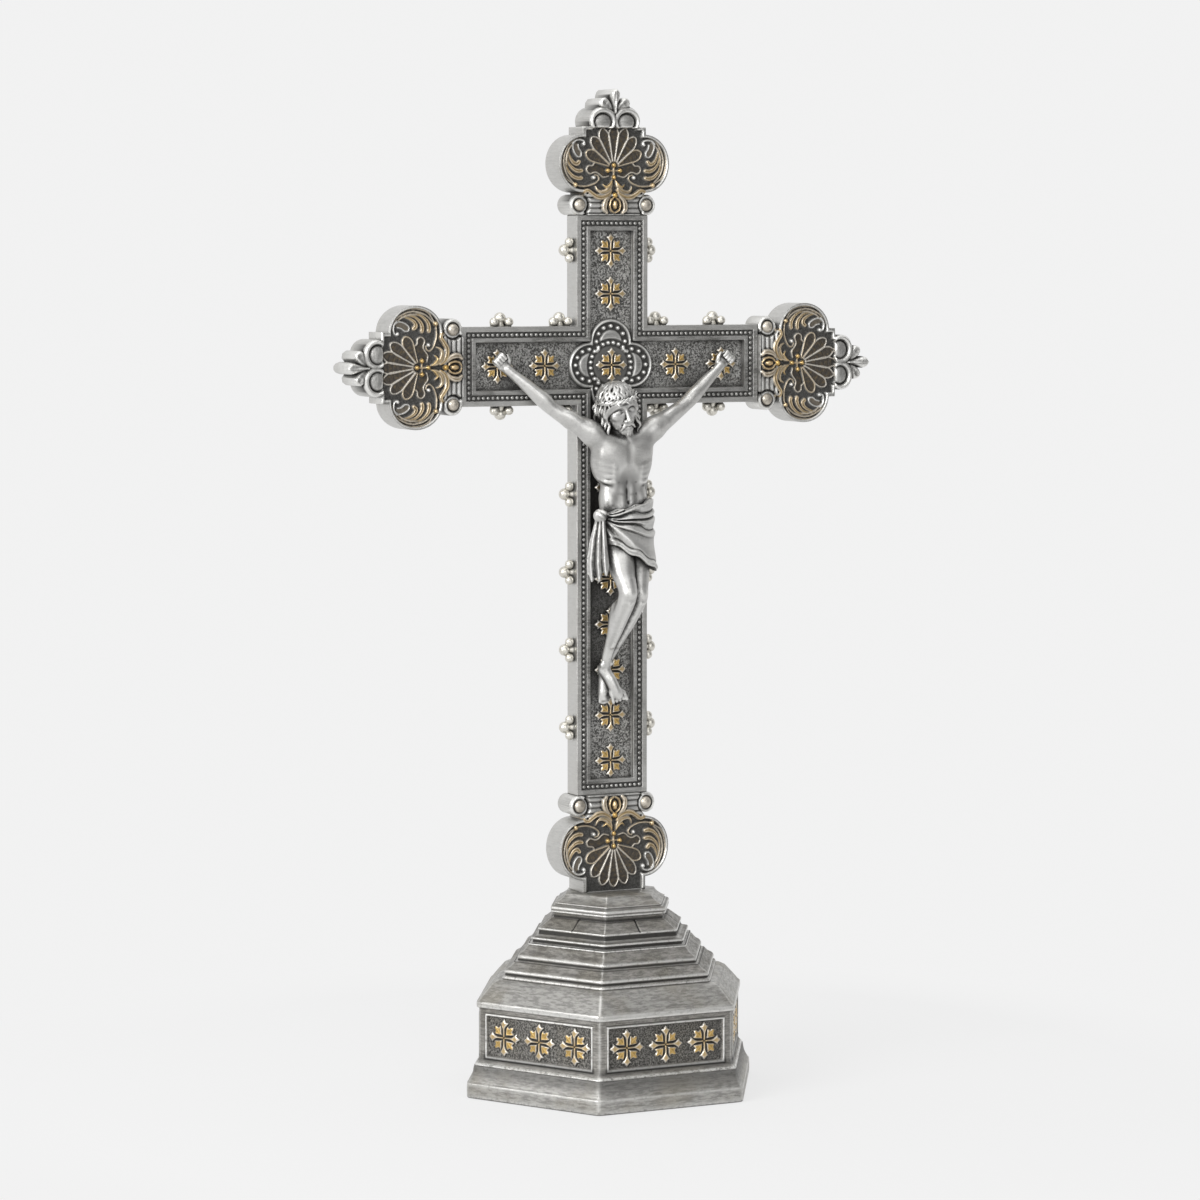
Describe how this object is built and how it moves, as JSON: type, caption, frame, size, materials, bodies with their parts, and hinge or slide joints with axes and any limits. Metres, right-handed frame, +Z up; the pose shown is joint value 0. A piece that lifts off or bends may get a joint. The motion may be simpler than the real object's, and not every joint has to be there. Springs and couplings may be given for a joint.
{
  "type": "standing crucifix",
  "caption": "Standing crucifix: stepped hexagonal base with rosette panels, framed Latin cross with shell finials, quatrefoil centre and a cast figure in silver and gilt.",
  "frame": {"origin": "on the floor, under the middle of the hexagonal base", "axes": "+X to the viewer's right along the cross arm, -Y to the front that carries the figure, +Z up"},
  "size_m": [0.231, 0.1104, 0.4],
  "materials": {
    "antique_silver": "silver plate over cast metal, dark wash left in the hollows, worn bright on the edges",
    "gilt": "cast leaves brushed with pale gold over a dark ground, silver tips",
    "felt": "short dark felt",
    "steel": "plain zinc-plated steel"
  },
  "bodies": {
    "root": {"felt_pad": "felt", "base_foot": "antique_silver", "base_drum": "antique_silver", "base_roof": "antique_silver", "base_steps": "antique_silver", "base_course": "antique_silver", "base_cap": "antique_silver", "cross_body": "antique_silver", "finial_top": "antique_silver", "finial_right": "antique_silver", "finial_left": "antique_silver", "finial_bottom": "antique_silver", "medallion": "antique_silver", "side_knobs": "antique_silver", "corpus_body": "antique_silver", "corpus_arm_right": "antique_silver", "corpus_arm_left": "antique_silver", "loincloth": "antique_silver", "crown_of_thorns": "antique_silver", "drum_rosettes": "gilt", "cross_rosettes": "gilt", "tie_rod": "steel", "tie_washer": "steel", "tie_nut": "steel", "corpus_pegs": "steel"}
  },
  "joints": []
}
